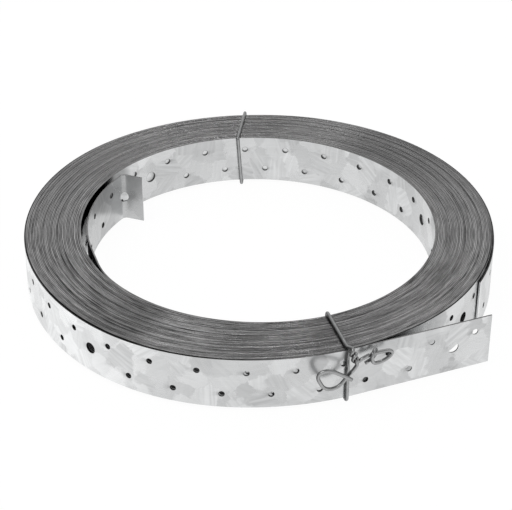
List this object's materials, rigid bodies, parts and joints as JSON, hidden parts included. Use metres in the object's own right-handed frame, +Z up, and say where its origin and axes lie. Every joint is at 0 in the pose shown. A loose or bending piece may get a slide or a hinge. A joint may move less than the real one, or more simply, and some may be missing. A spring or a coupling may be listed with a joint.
{
  "type": "punched purlin strap",
  "caption": "Galvanised punched strap for purlins and bracing, as a flat-lying coil with a straight outer tail, a bent inner end and wire ties.",
  "frame": {"origin": "on the coil's axis, on the floor that the coil lies on, at the level of the undersides of the tie wires", "axes": "+Z up along the coil's axis, +X to the right as pictured, +Y away from the camera; the tail leaves the coil at the front right"},
  "size_m": [0.268, 0.2765, 0.0359],
  "materials": {
    "zinc": "galvanised, satin with spangle",
    "wire": "galvanised wire, satin"
  },
  "bodies": {
    "root": {"strap": "zinc", "front_tie": "wire", "back_tie": "wire"}
  },
  "joints": []
}
